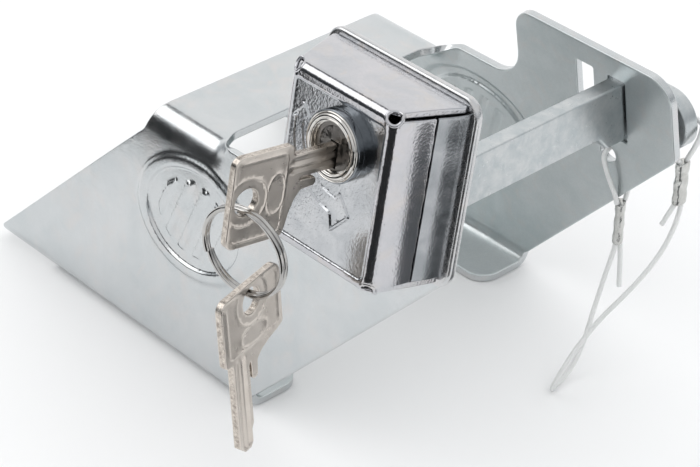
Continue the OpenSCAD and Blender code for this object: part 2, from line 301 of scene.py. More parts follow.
def tube(name, path, radius, material, sides=16, shape=None, closed=False, sharp=60):
    """A tube along path. shape(angle, distance) scales its radius."""
    p = np.asarray(path, float)
    t = np.roll(p, -1, 0) - np.roll(p, 1, 0) if closed else np.gradient(p, axis=0)
    t /= np.linalg.norm(t, axis=1)[:, None]
    u = np.cross(t[0], [0.31, 0.9, 0.2])
    s, verts = 0.0, []
    angle = 2 * math.pi * np.arange(sides) / sides
    for i in range(len(p)):
        u = u - (u @ t[i]) * t[i]
        u /= np.linalg.norm(u)
        w = np.cross(t[i], u)
        if i:
            s += np.linalg.norm(p[i] - p[i - 1])
        r = radius * (shape(angle, s) if shape else np.ones(sides))
        verts += list(p[i] + (r * np.cos(angle))[:, None] * u + (r * np.sin(angle))[:, None] * w)
    n = len(p)
    faces = tube_faces(n, sides, closed)
    if not closed:
        faces += tube_caps(n, sides)
    return build(name, verts, faces, material, sharp)


def lathe(name, profile, place, material, n=72, sharp=30, closed=False):
    """A turned piece: profile is (radius, height) from its axis outwards, and place puts it in the row frame."""
    prof = np.array(profile, float)
    a = 2 * math.pi * np.arange(n) / n
    verts = np.concatenate([place(r * np.cos(a), r * np.sin(a), np.full(n, h)) for r, h in prof])
    obj = build(name, verts, tube_faces(len(prof), n, closed), material, sharp)
    face_out(obj)
    return obj


# ---------------------------------------------------------------- materials
def material(name):
    mat = bpy.data.materials.new(name)
    mat.use_nodes = True
    tree = mat.node_tree
    shader = tree.nodes["Principled BSDF"]
    where = tree.nodes.new("ShaderNodeTexCoord").outputs["Object"]
    return mat, tree, shader, where


def feed(tree, socket, value):
    """Links value to the socket if it is another node's output, or else sets it."""
    if isinstance(value, bpy.types.NodeSocket):
        tree.links.new(value, socket)
    else:
        socket.default_value = value


def add(tree, kind, **inputs):
    """A new node. The inputs are named with _ for a space."""
    node = tree.nodes.new(kind)
    for key, value in inputs.items():
        feed(tree, node.inputs[key.replace("_", " ")], value)
    return node


def noise_at(tree, where, size, detail=3.0, stretch=(1, 1, 1), roughness=0.5, distortion=0.0):
    """Noise whose features are about size millimetres across."""
    scaled = add(tree, "ShaderNodeMapping", Vector=where, Scale=tuple(stretch))
    return add(tree, "ShaderNodeTexNoise", Vector=scaled.outputs[0], Scale=1 / (size * MM), Detail=detail,
               Roughness=roughness, Distortion=distortion).outputs["Fac"]


def spread(tree, value, low, high, to_low, to_high):
    """value between low and high, stretched to the range from to_low to to_high."""
    node = add(tree, "ShaderNodeMapRange")
    for socket, v in zip(node.inputs[:5], (value, low, high, to_low, to_high)):
        feed(tree, socket, v)
    return node.outputs[0]


def mixed(tree, factor, a, b):
    """Colour a at factor 0 and colour b at factor 1."""
    node = tree.nodes.new("ShaderNodeMix")
    node.data_type = "RGBA"
    for socket, v in zip((node.inputs[0], node.inputs[6], node.inputs[7]), (factor, a, b)):
        feed(tree, socket, (*v, 1) if isinstance(v, tuple) else v)
    return node.outputs[2]


def bumps(tree, shader, *layers):
    """Bump layers (height, strength, depth in millimetres), one on another."""
    normal = None
    for height, strength, depth in layers:
        node = add(tree, "ShaderNodeBump", Height=height, Strength=strength, Distance=depth * MM)
        if normal:
            tree.links.new(normal, node.inputs["Normal"])
        normal = node.outputs[0]
    tree.links.new(normal, shader.inputs["Normal"])


def metal(name, tone, second, rough, patch=14, grain=0.45, grain_strength=0.3, streak=0.0, streak_along=(1, 14, 14),
          wave=0.0, warm=None, metallic=1.0, grain_depth=0.03):
    """Plated or bare metal: two tones in soft patches, uneven gloss, a fine grain, and scratches along one direction.
    The sizes and depths are in millimetres."""
    mat, tree, shader, where = material(name)
    shader.inputs["Metallic"].default_value = metallic
    blotch = noise_at(tree, where, patch, 4, roughness=0.6, distortion=0.4)
    colour = mixed(tree, spread(tree, blotch, 0.35, 0.65, 0, 1), tone, second)
    if warm:
        tint = noise_at(tree, where, patch * 0.8, 2, distortion=1.5)
        colour = mixed(tree, spread(tree, tint, 0.52, 0.72, 0, 0.6), colour, warm)
    fine = noise_at(tree, where, grain, 2)
    colour = mixed(tree, spread(tree, fine, 0.3, 0.7, 0.0, 0.10), colour, (0.3, 0.31, 0.32))
    tree.links.new(colour, shader.inputs["Base Color"])
    gloss = noise_at(tree, where, patch * 0.35, 4, roughness=0.65)
    tree.links.new(spread(tree, gloss, 0.3, 0.7, rough[0], rough[1]), shader.inputs["Roughness"])
    layers = [(fine, grain_strength, grain_depth)]
    if streak:
        layers.append((noise_at(tree, where, 2.2, 3, streak_along, 0.7), streak, 0.04))
    if wave:
        layers.append((noise_at(tree, where, 9, 1), wave, 0.25))
    bumps(tree, shader, *layers)
    return mat


ZINC = metal("zinc_sheet", (0.58, 0.61, 0.622), (0.64, 0.657, 0.665), (0.18, 0.26), grain=0.5, grain_strength=1.0,
             streak=0.04, streak_along=(9, 1, 1), wave=0.06, warm=(0.66, 0.64, 0.63))
INNER_ZINC = metal("zinc_sheet_inside", (0.54, 0.585, 0.59), (0.60, 0.635, 0.64), (0.28, 0.38), patch=9, grain=0.6,
                   grain_strength=0.8, wave=0.05, warm=(0.60, 0.60, 0.59))
LIP_ZINC = metal("zinc_sheet_lip", (0.60, 0.645, 0.655), (0.66, 0.70, 0.705), (0.36, 0.46), patch=9, grain=0.6,
                 grain_strength=0.6, metallic=0.45)
BAR_ZINC = metal("zinc_bar", (0.49, 0.53, 0.545), (0.61, 0.63, 0.635), (0.26, 0.38), patch=3.5, grain=0.7,
                 grain_strength=0.4, streak=0.08, streak_along=(6, 0.7, 6), wave=0.10)
BRIGHT = metal("zinc_box", (0.52, 0.53, 0.555), (0.60, 0.59, 0.61), (0.10, 0.16), patch=11, grain=0.6,
               grain_strength=0.9, grain_depth=0.04, wave=0.05, warm=(0.62, 0.58, 0.55))
PEEL = metal("zinc_box_grain", (0.49, 0.505, 0.525), (0.60, 0.61, 0.625), (0.13, 0.21), patch=6, grain=0.75,
             grain_strength=1.0, grain_depth=0.055)
RIM = metal("zinc_box_rim", (0.56, 0.57, 0.58), (0.66, 0.66, 0.665), (0.20, 0.30), patch=6, grain=0.5,
            grain_strength=0.6, warm=(0.66, 0.63, 0.61))
SIDE = metal("zinc_box_side", (0.32, 0.34, 0.355), (0.44, 0.45, 0.47), (0.14, 0.24), patch=8, grain=0.6,
             grain_strength=1.0)
NICKEL = metal("nickel", (0.62, 0.60, 0.57), (0.70, 0.68, 0.65), (0.06, 0.11), patch=8, grain=0.3,
               grain_strength=0.05)
COLLAR = metal("nickel_collar", (0.16, 0.175, 0.19), (0.27, 0.29, 0.31), (0.10, 0.18), patch=6, grain=0.3,
               grain_strength=0.1)
PLUG = metal("nickel_plug", (0.20, 0.188, 0.175), (0.25, 0.235, 0.22), (0.32, 0.42), patch=5, grain=0.3,
             grain_strength=0.12)
DULL = metal("dull_steel", (0.52, 0.53, 0.53), (0.60, 0.60, 0.59), (0.32, 0.45), grain=0.5)
BRASS = metal("wafer_brass", (0.70, 0.55, 0.27), (0.76, 0.62, 0.33), (0.25, 0.35), grain=0.4)
KEY = metal("key_metal", (0.63, 0.575, 0.52), (0.70, 0.645, 0.59), (0.26, 0.36), patch=7, grain=0.4,
            grain_strength=0.35, streak=0.10, streak_along=(1, 1, 8))
# The key's cut edge: rough bare metal in dark and light specks, and the light specks are painted glints.
KEY_EDGE_SPECKLE_AND_GLINTS = metal("key_edge_speckle_and_painted_glints", (0.34, 0.30, 0.265), (0.74, 0.68, 0.61), (0.20, 0.34), patch=0.9, grain=0.45,
                 grain_strength=1.0)
WIRE = metal("bright_wire", (0.42, 0.41, 0.40), (0.56, 0.55, 0.53), (0.08, 0.16), patch=5, grain=0.3,
             grain_strength=0.10)
CRIMP = metal("crimp_metal", (0.50, 0.50, 0.48), (0.66, 0.66, 0.64), (0.14, 0.28), patch=3, grain=0.5,
              grain_strength=0.3)
STRAND = metal("strand_wire", (0.80, 0.80, 0.79), (0.88, 0.88, 0.87), (0.3, 0.45), patch=3, grain=0.3)


def clear_coat(name):
    """The lanyard's milky clear plastic."""
    mat, tree, shader, where = material(name)
    milk = noise_at(tree, where, 3, 2)
    tree.links.new(mixed(tree, milk, (0.90, 0.91, 0.91), (0.96, 0.97, 0.96)), shader.inputs["Base Color"])
    shader.inputs["Roughness"].default_value = 0.3
    shader.inputs["Transmission Weight"].default_value = 0.4
    shader.inputs["IOR"].default_value = 1.42
    bumps(tree, shader, (noise_at(tree, where, 0.8, 2), 0.15, 0.03))
    return mat


COAT = clear_coat("coated_cable")

# ---------------------------------------------------------------- lanyard
RUN = [
    (65.1, 44.7, 31), (65.4, 43.2, 27.5), (66.2, 40.4, 23.6), (67.2, 37.2, 19.2), (68.6, 33.4, 14.4), (70, 29.8, 9.8),
    (70.8, 26.6, 5.8), (71.4, 23.2, 2.8), (72, 19.4, 1.2), (72.6, 16, 0.9), (73.6, 13.6, 1.3), (74.6, 13.2, 3.8),
    (74.9, 15.4, 7.2), (75, 19.2, 11.2), (75.6, 23.6, 15.6), (77, 27.6, 20.4), (79.2, 31.6, 25.4), (80.8, 35.4, 29.6),
    (82, 39.2, 33.8), (82.8, 43.4, 39), (82.9, 46.8, 44.4), (82.6, 48.6, 48.4), (82.5, 49, 50.8),
]
CASE_LOOP = [
    (65.1, 43.6, 44), (65.1, 42.4, 47.5), (64.5, 40.9, 51.5), (63.2, 39.8, 56.5), (62.2, 40.1, 59.5), (62, 42.8, 60.8),
    (62.2, 45.5, 59.6), (63.2, 46.8, 56.5), (64.4, 47.5, 51.5), (65.1, 47.7, 47.5), (65.3, 46.6, 44),
]
CASE_TAIL = [(65.6, 45.7, 31), (66, 45.9, 26), (66.3, 45.9, 21), (66.8, 45.6, 16.8)]
BAR_LOOP = [
    (82.4, 47, 64), (82, 44.6, 67), (80.4, 44.2, 70.5), (78.7, 44.6, 73.2), (78.5, 48, 74), (79.1, 51.6, 74.2),
    (81.6, 52.3, 74.9), (84.6, 51.6, 74.6), (86, 49.4, 72.4), (85.8, 47.6, 69.4), (84.3, 47.9, 66.4), (82.8, 49, 64),
]
BAR_TAIL = [(82.2, 46.9, 51), (81.2, 45.6, 47.6), (80.2, 44.6, 44.4)]
CABLE_R, CORE_R, SLEEVE_L = 0.7, 0.42, 13


def strand(angle, s):
    """Six wires twisted round each other, one turn in 6 mm."""
    return 1 + 0.16 * np.abs(np.cos(3 * (angle + s * 2 * math.pi / 6))) - 0.1


def cable(name, route, body, nodes=()):
    """A length of the lanyard: its clear coat and the twisted wires inside."""
    path = resample(smooth(route), 0.5)
    coat = tube(name, path, CABLE_R, COAT, 14)
    core = tube(name + "_wires", resample(path, 0.3), CORE_R, STRAND, 18, strand)
    if body:
        for o in (coat, core):
            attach(o, body)
    if nodes:
        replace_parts(coat, *nodes)
    return coat, core, path


run, run_wires, run_path = cable("lanyard_run_cable", RUN, None, ["lanyard_run"])
case_eye, case_eye_wires, _ = cable("lanyard_case_eye", CASE_LOOP, "case", ["case_loop"])
case_end, case_end_wires, _ = cable("lanyard_case_end", CASE_TAIL, "case")
bar_eye, bar_eye_wires, _ = cable("lanyard_bar_eye", BAR_LOOP, "bar", ["bar_loop"])
bar_end, bar_end_wires, _ = cable("lanyard_bar_end", BAR_TAIL, "bar")


def sleeve(name, at, seed, half=(1.5, 2.4), turn=0.0):
    """A pressed sleeve: a flattened tube with two crimps and a crumpled skin."""
    n, levels = 56, 53
    a = 2 * math.pi * np.arange(n) / n
    verts = []
    for i in range(levels):
        f = i / (levels - 1)
        squeeze = 1 - 0.09 * math.exp(-((f - 0.3) / 0.1) ** 2) - 0.09 * math.exp(-((f - 0.68) / 0.1) ** 2)
        end = min(f, 1 - f) * SLEEVE_L
        round_off = 1 - 0.1 * max(0, 1 - end / 0.5) ** 2
        for b in a:
            c, s = math.cos(b), math.sin(b)
            x, y = half[0] * np.sign(c) * abs(c) ** 0.8, half[1] * np.sign(s) * abs(s) ** 0.85
            crumple = 0.085 * noise.noise(Vector((c * 1.6, s * 1.6 + seed, f * 7)))
            crumple = crumple + 0.03 * noise.noise(Vector((c * 4, s * 4, f * 16 + seed)))
            k = squeeze * round_off * (0.94 + crumple * min(1, end / 1.5))
            x, y = x * k, y * min(k, 1.0)
            verts.append((at[0] + x * math.cos(turn) - y * math.sin(turn),
                          at[1] + x * math.sin(turn) + y * math.cos(turn), at[2] + f * SLEEVE_L))
    return build(name, verts, tube_faces(levels, n) + tube_caps(levels, n), CRIMP, 50)


case_sleeve = sleeve("sleeve_case", (65.2, 45.1, 31), 3, (1.55, 2.1), math.radians(35))
bar_sleeve = sleeve("sleeve_bar", (82.5, 48, 51), 11)
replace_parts(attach(case_sleeve, "case"), "case_ferrule")
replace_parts(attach(bar_sleeve, "bar"), "bar_ferrule")
for o in (run, run_wires):
    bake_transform(o)

# ---------------------------------------------------------------- folded case
SHEET, FLARE, BEND, ROOF_BEND = 2.5, math.radians(9.5), 5.0, 7.4
ROOF_Y, ROOF_Z = 43.0, 66.0
LEAN_S, LEAN_C = math.sin(FLARE), math.cos(FLARE)
TOP_Y = ROOF_Y + (ROOF_BEND * LEAN_S - ROOF_BEND) / LEAN_C
FOOT_Y = ROOF_Y + ((ROOF_Z - BEND) * LEAN_S - BEND) / LEAN_C
CHEEK_Y, CHEEK_Z = TOP_Y + ROOF_BEND * LEAN_C, ROOF_Z - ROOF_BEND + ROOF_BEND * LEAN_S
T1 = TOP_Y
T2 = T1 + ROOF_BEND * (math.pi / 2 - FLARE)
T3 = T2 + (CHEEK_Z - BEND - BEND * LEAN_S) / LEAN_C
T4 = T3 + BEND * (math.pi / 2 + FLARE)
LIP_T = T4 + FOOT_Y - 34


def down(z):
    """How far across the flat sheet a cheek's point at height z lies."""
    if z > BEND + BEND * LEAN_S:
        return T2 + (CHEEK_Z - z) / LEAN_C
    return T3 + BEND * (FLARE - math.asin((z - BEND) / BEND))


def fold_case(x, t, h):
    """Folds the case: t runs across the flat sheet from the roof's middle, and h is the height on its outside.
    Past the roof's end, near x = 0, the cheeks stand straight up instead of bending over."""
    side, t = np.where(t < 0, -1, 1), np.abs(t)
    a = np.clip((T2 - t) / ROOF_BEND + FLARE, FLARE, math.pi / 2)
    flat = np.minimum(t, T1)
    y, z = TOP_Y - (T1 - flat) + ROOF_BEND * np.cos(a), ROOF_Z - ROOF_BEND + ROOF_BEND * np.sin(a)
    straight = (t - T2) * LEAN_S + CHEEK_Y, CHEEK_Z - (t - T2) * LEAN_C
    w = np.where(t < T2, ease((x + 2.4) / 9), 0) * np.where(x > 0, 1, ease((x + 2.4) / 3))
    y, z, a = (1 - w) * y + w * straight[0], (1 - w) * z + w * straight[1], (1 - w) * a + w * FLARE
    low = t > T2
    y, z = np.where(low, straight[0], y), np.where(low, straight[1], z)
    foot = t > T3
    b = np.clip(FLARE - (t - T3) / BEND, -math.pi / 2, FLARE)
    y = np.where(foot, FOOT_Y + BEND * np.cos(b) - np.maximum(t - T4, 0), y)
    z, a = np.where(foot, BEND + BEND * np.sin(b), z), np.where(foot, b, a)
    return np.stack([x, side * (y + h * np.cos(a)), z + h * np.sin(a)], 1)


def box_gap(x, y, w, h, r):
    """Distance to a rounded rectangle's outline, negative inside."""
    qx, qy = np.abs(x) - w / 2 + r, np.abs(y) - h / 2 + r
    return np.hypot(np.maximum(qx, 0), np.maximum(qy, 0)) + np.minimum(np.maximum(qx, qy), 0) - r


OVAL_A, OVAL_B = 22.7, 16.2
OVALS = ((-4.1, -(down(ROOF_Z) + 23.2)), (11.8, down(ROOF_Z) + 20.7))


def bars(x, y):
    """Distance to five slanted bars that fill an oval, negative inside them."""
    u = x + 0.35 * y
    k = np.clip(np.round(u / 6.2), -2, 2)
    return np.maximum(np.abs(u - 6.2 * k) - 1.3, 16 * (np.hypot(x / OVAL_A, y / OVAL_B) - 0.62))


def pressed(x, t):
    """The soft run-out of the roof bends, and the two ovals pressed into the cheeks: a raised ring round a sign."""
    away = np.abs(t) - T2
    up = np.clip(-away / (T2 - T1), 0, 1)
    sink = np.where(away > 0, np.exp(-np.maximum(away, 0) / 8), (1 + 1.45 * up) * (1 - ease(up)))
    h = -0.7 * sink * ease((6 - x) / 9)
    for cx, ct in OVALS:
        rho = np.hypot((x - cx) / OVAL_A, (t - ct) / OVAL_B)
        near = rho < 1.4
        band = ease((1.07 - rho) / 0.12) * ease((rho - 0.81) / 0.045)
        sign = np.zeros(len(x))
        sign[near] = ease(0.5 - bars((x - cx)[near], (np.sign(ct) * (t - ct))[near]) / 0.55)
        h += 0.75 * band + 0.5 * sign * (rho < 0.8)
    return h


# One half of the flat sheet: the roof, down the front edge of a cheek, round the lip and back over the horn
half = [
    (-26, T1 - 3, 0), (-26, T1 + 1, 2), (-28.4, T2 + 0.5, 4), (-85.2, T3 + 2.4, 2.5), (-84.5, T3 + 4.9, 1.5),
    (-62, T3 + 4.9, 1.5), (-62, LIP_T, 8), (26, LIP_T, 6.5), (26, down(4.3), 3), (86, down(68.5), 3.5),
    (85.3, down(92.5), 8), (30, down(92.5), 6), (30, down(68.3), 10), (-2.4, down(68), 6.5), (-2.4, T1 - 8, 0),
]
case_outline = rounded(*half, *[(x, -t, r) for x, t, r in half[::-1]])
SLOT_LOW, SLOT_HIGH = down(66.5), down(86)
slots = [
    rounded((x - 3, s * SLOT_LOW, 0.5), (x + 3, s * SLOT_LOW, 0.5), (x + 3, s * SLOT_HIGH, 0.5),
            (x - 3, s * SLOT_HIGH, 0.5))
    for s in (-1, 1) for x in (66.3, 55.1)
]
OVAL_RINGS = (0.79, 0.81, 0.82, 0.832, 0.845, 0.86, 0.9, 0.95, 0.97, 0.99, 1.01, 1.03, 1.05, 1.07, 1.1)
case_grid = [grid(-86, 86, -LIP_T, LIP_T, 3)]
for s in (-1, 1):
    case_grid += [
        np.stack(np.meshgrid(np.arange(-28, 14, 1.5), s * np.linspace(T1 - 1, T2 + 3, 26)), -1).reshape(-1, 2),
        np.stack(np.meshgrid(np.arange(-86, 27, 2.5), s * np.linspace(T3 - 0.5, T4 + 0.5, 16)), -1).reshape(-1, 2),
    ]
for cx, ct in OVALS:
    case_grid += [np.array(circle(cx, ct, OVAL_A * k, 110, OVAL_B * k)) for k in OVAL_RINGS]
    case_grid.append(grid(cx - 16, cx + 16, ct - 11, ct + 11, 0.5))
case_grid = np.concatenate(case_grid)
cable_hole = circle(62, down(59.7), 2.75, 28)
case = plate("folded_case", [case_outline, *slots, cable_hole], case_grid, fold_case, pressed,
             lambda x, t: pressed(x, t) - SHEET, ZINC, edge=0.4, lining=INNER_ZINC,
             low=(LIP_ZINC, lambda x, t: np.abs(t) > T4 - 1))
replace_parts(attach(case, "case"), "case")

# ---------------------------------------------------------------- locking bar
BAR_X, BAR_T, BAR_TOP, HOOK_Y = 66.3, 5.0, 85.2, 45.4
MID_R = 3 + BAR_T / 2
B1 = HOOK_Y - 3
B2 = B1 + MID_R * math.pi / 2


def fold_bar(t, z, h):
    """Bends the bar's far end round: t runs along the flat bar and h is the height on its face."""
    a = np.clip((t - B1) / MID_R, 0, math.pi / 2)
    x = BAR_X + MID_R * (1 - np.cos(a)) + np.maximum(t - B2, 0)
    y = np.minimum(t, B1) + MID_R * np.sin(a)
    return np.stack([x - h * np.cos(a), y + h * np.sin(a), z], 1)


# The outline goes round from the nose: the shoulder below, the bent end and the cam's notch on top
hook_t = B2 + (BAR_X + 18.2) - (BAR_X + MID_R)
bar_outline = rounded(
    (-57.8, 76, 2), (-56, 74.7, 1), (-46, 74.7, 1), (-42.5, 71.1, 1), (30, 71.1, 2), (33.5, 67.1, 1), (hook_t, 67.1, 6),
    (hook_t, BAR_TOP - 2.6, 9), (B1 + 6, BAR_TOP - 2.6, 2), (B1 + 2.5, BAR_TOP - 0.1, 2), (-44.9, BAR_TOP - 0.1, 0.4),
    (-45.4, 82, 0.4), (-49.4, 82.3, 0.4), (-48.9, BAR_TOP - 0.1, 0.4), (-55.5, BAR_TOP - 0.1, 1.5), (-57.8, 83.5, 1),
)
bar_points = np.concatenate([grid(-58, hook_t, 67, 85.2, 2.2), grid(B1 - 0.5, B2 + 0.5, 67, 85.2, 0.9)])
hole_t = B2 + 78.5 - BAR_X - MID_R
bar = plate("locking_bar_body", [bar_outline, circle(hole_t, 73, 2.75, 28)], bar_points, fold_bar,
            flat_at(BAR_T / 2 - 0.03), flat_at(0.03 - BAR_T / 2), BAR_ZINC, edge=0.5)
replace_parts(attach(bar, "bar"), "locking_bar")

# ---------------------------------------------------------------- lock box
BOX_X, BOX_U, FRONT_N = 64.3, 26.2, 22.5
HALF_W, HALF_H, COVER, FOLD_R, SIDE_R = 17.5, 23.8, 1.5, 2.6, 3.6


def on_near(x, u, n):
    """The row frame's place of a point on the near cheek's outer face: x, up the slope, and out of it."""
    return np.stack([x, -ROOF_Y + u * LEAN_S - n * LEAN_C, ROOF_Z + u * LEAN_C + n * LEAN_S], 1)


def wrap(p, edge, lean, fold=FOLD_R):
    """Folds a flap back at +-edge: returns place, depth behind the front and the normal's turn."""
    s, p = np.sign(p), np.abs(p)
    turn = math.pi / 2 - lean
    start = edge - fold * math.tan(turn / 2)
    a = np.clip((p - start) / fold, 0, turn)
    rest = np.maximum(p - start - fold * turn, 0)
    pos = np.minimum(p, start) + fold * np.sin(a) + rest * math.cos(turn)
    back = fold * (1 - np.cos(a)) + rest * math.sin(turn)
    return s * pos, back, s * a


# How far each side of the box leans out over its depth
LEAN = {
    "right": math.atan(5.3 / 19.7), "left": math.atan(6.9 / 19.7), "top": math.atan(0.2 / 19.7),
    "bottom": -math.atan(1.6 / 19.7),
}


def fold_cover(p, q, h):
    """Folds the cover's four flaps back. (p, q) is the place on the flat sheet, and h the height on its outside."""
    flap, side = np.abs(q) > 23.2, (np.abs(q) <= 23.2) & (np.abs(p) > 17)
    rx, rbx, rax = wrap(p, HALF_W, LEAN["right"], SIDE_R)
    lx, lbx, lax = wrap(p, HALF_W, LEAN["left"], SIDE_R)
    px, bx, ax = (np.where(p < 0, a, b) for a, b in ((lx, rx), (lbx, rbx), (lax, rax)))
    px, bx, ax = np.where(flap, p, px), np.where(flap, 0, bx), np.where(flap, 0, ax)
    ty, tby, tay = wrap(q, HALF_H, LEAN["top"])
    ly, lby, lay = wrap(q, HALF_H, LEAN["bottom"])
    qy, by, ay = (np.where(q < 0, a, b) for a, b in ((ly, ty), (lby, tby), (lay, tay)))
    qy, by, ay = np.where(side, q, qy), np.where(side, 0, by), np.where(side, 0, ay)
    n = FRONT_N - bx - by + h * np.cos(ax) * np.cos(ay)
    return on_near(BOX_X + px + h * np.sin(ax), BOX_U + qy + h * np.sin(ay), n)


def flap_end(edge, lean, depth, fold=FOLD_R):
    """Where on the flat sheet a flap reaches depth behind the front."""
    turn = math.pi / 2 - lean
    return edge - fold * math.tan(turn / 2) + fold * turn + (depth - fold * (1 - math.cos(turn))) / math.sin(turn)


CYL_X, CYL_U = 66.5, 36
AXIS_P, AXIS_Q = CYL_X - BOX_X, CYL_U - BOX_U


def round_axis(*points):
    """Points (radius, angle in degrees) round the key cylinder's axis."""
    return [(AXIS_P + r * math.cos(math.radians(a)), AXIS_Q + r * math.sin(math.radians(a))) for r, a in points]


arrow = round_axis(
    (14.6, 163), (17.3, 179), (16.2, 178.5), *[(16.2 + 2.3 * i / 22, 180 + 4 * i) for i in range(23)], (22.4, 271),
    (17.8, 288), (12.5, 278), (14.1, 275), *[(14 - 0.6 * i / 25, 272 - 4 * i) for i in range(25)], (11.6, 172),
)


def beside(loop, offsets, step=0.4):
    """Mesh points along an outline, at each of the offsets from it."""
    p = np.array(loop + loop[:1], float)
    p = resample(np.column_stack([p, np.zeros(len(p))]), step)[:-1, :2]
    return np.concatenate([inset(p, d) for d in offsets])


def panel_gap(p, q, w, h):
    """Distance to the outline of the sunk panel."""
    return box_gap(p + 0.4, q + 0.3, w, h, 1.6)


def front_relief(p, q):
    """The cover's face: a sunk panel with the arrow's raised line on it, and slightly crowned flaps."""
    panel = ease(0.5 - panel_gap(p, q, 31.4, 40.4) / 0.7)
    line = ease(1.25 - edge_distance(np.stack([p, q], 1), [np.array(arrow)]) / 0.42)
    crown = 0.42 * np.clip(1 - ((np.abs(p) - 23.6) / 5) ** 2, 0, 1) * (np.abs(q) < 23.2)
    top = 0.18 * np.clip(1 - ((np.abs(q) - 35) / 8.5) ** 2, 0, 1)
    return 0.46 * line * (panel > 0.5) - 0.42 * panel + crown + top


END_R, END_L = flap_end(HALF_W, LEAN["right"], 11.3, SIDE_R), flap_end(HALF_W, LEAN["left"], 11.3, SIDE_R)
END_T, END_B = flap_end(HALF_H, LEAN["top"], 19.6), flap_end(HALF_H, LEAN["bottom"], 19.6)
# The right flap's end is not quite straight
wavy = [(END_R + 0.14 * math.sin(0.9 * q) * math.sin(0.37 * q + 1), q, 0) for q in np.linspace(-20.3, 21.3, 40)]
# The flat cover: a cross of four flaps
cross = rounded(
    (17, -24.5, 0), (HALF_W + 4.9, -END_B, 1), (-HALF_W - 6.3, -END_B, 1), (-17, -24.5, 0), (-17, -22, 0),
    (-END_L, -21.1, 0.6), (-END_L, 22, 0.6), (-17, 22, 0), (-17, 24.5, 0), (-HALF_W - 6.5, END_T, 1),
    (HALF_W + 5, END_T, 1), (17, 24.5, 0), (17, 22, 0), (END_R, 22, 0.6), *wavy[::-1], (END_R, -21.1, 0.6),
    (17, -22, 0),
)


def bite(loop, x, y, r):
    """The outline with a round corner relief at (x, y) cut out of it, as an arc between the two edges it meets."""
    p = wound(loop, True)
    gone = np.hypot(p[:, 0] - x, p[:, 1] - y) < r
    first = next(i for i in range(len(p)) if gone[i] and not gone[i - 1])
    p, gone = np.roll(p, -first, 0), np.roll(gone, -first)
    k = int(gone.argmin())
    rest = p[k:]

    def meet(a, b):
        t = np.linspace(0, 1, 400)[:, None]
        s = a + (b - a) * t
        return s[np.abs(np.hypot(s[:, 0] - x, s[:, 1] - y) - r).argmin()]

    start, end = meet(p[-1], p[0]), meet(p[k], p[k - 1])
    a0, a1 = (math.atan2(v[1] - y, v[0] - x) for v in (start, end))
    sweep = (a1 - a0) % (2 * math.pi)
    if sweep < math.pi:
        sweep -= 2 * math.pi
    arc = [(x + r * math.cos(a0 + sweep * j / 20), y + r * math.sin(a0 + sweep * j / 20)) for j in range(21)]
    return np.concatenate([arc, rest])


CORNER_P, CORNER_Q, RELIEF = 17, 23.2, 2.5
for sx in (-1, 1):
    for sy in (-1, 1):
        cross = bite(cross, sx * CORNER_P, sy * CORNER_Q, RELIEF)
wide = grid(-31, 31, -45, 45, 1.6)
panel_line = rounded((-16.2, -20.6, 1.6), (15.4, -20.6, 1.6), (15.4, 20, 1.6), (-16.2, 20, 1.6))
cover_points = [
    wide[(np.abs(wide[:, 0]) > 21) | (np.abs(wide[:, 1]) > 25.6)], grid(-13.4, 13.4, -20.6, 20.6, 0.9),
    beside(arrow, (-0.5, -0.3, -0.12, 0.12, 0.3, 0.5)), beside(panel_line, (-0.3, -0.1, 0.1, 0.3, 0.5, 0.7)),
]
for s in (-1, 1):
    cover_points += [
        np.stack(np.meshgrid(s * np.linspace(13.8, 20.6, 28), np.arange(-22, 22.1, 1)), -1).reshape(-1, 2),
        np.stack(np.meshgrid(np.arange(-17, 17.1, 1.4), s * np.linspace(20.8, 25.3, 15)), -1).reshape(-1, 2),
    ]
cover = plate(
    "box_cover_pressing", [cross, circle(AXIS_P, AXIS_Q, 8.1, 60)], np.concatenate(cover_points), fold_cover,
    front_relief, lambda p, q: np.full(len(p), -COVER), BRIGHT, edge=0.3,
    part=(PEEL, lambda p, q: panel_gap(p, q, 31.6, 40.6) < 0),
)
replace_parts(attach(cover, "box"), "box_cover")
# A raised collar round each corner hole, open towards the seam
for sx in (-1, 1):
    for sy in (-1, 1):
        a = np.linspace(0, 2 * math.pi, 60, endpoint=False)
        x, y = CORNER_P + RELIEF * np.cos(a), CORNER_Q + RELIEF * np.sin(a)
        keep = ~((x > 17.6) & (y > CORNER_Q - 1.0) & (x - CORNER_P > (y - CORNER_Q) * -0.2))
        lip = fold_cover(sx * x[keep], sy * y[keep], np.full(keep.sum(), -0.35))
        lip_ring = tube(f"corner_lip_{'lr'[sx > 0]}{'bt'[sy > 0]}", lip, 0.5, BRIGHT, 12, closed=True)
        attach(lip_ring, "box")

# The tray: the rim and the two walls that the cover's side flaps meet
rim_outline = rounded((37.5, 2, 5), (89.5, 2, 5), (89.5, 52, 5), (37.5, 52, 5), step=6)
bar_slot = rounded((62.8, 3.9, 0.4), (69.8, 3.9, 0.4), (69.8, 20.1, 0.4), (62.8, 20.1, 0.4))
rim = plate(
    "box_rim", [rim_outline, bar_slot], grid(38, 89, 2, 52, 3), on_near,
    flat_at(2.8), flat_at(0.3), RIM, edge=1.0, rings=5,
)


WALL_N, WALL_W = 10.9, 8.2 / math.cos(LEAN["right"])


def wall_place(s):
    """Where the tray's wall on side s stands: (u, v) is along it and back from the seam, and h is outwards."""
    lean = LEAN["right" if s > 0 else "left"]

    def place(u, v, h):
        out = (FRONT_N - WALL_N) * math.tan(lean) + v * math.sin(lean)
        x = BOX_X + s * (HALF_W + out + h * math.cos(lean))
        return on_near(x, u, WALL_N - v * math.cos(lean) + h * math.sin(lean))

    return place


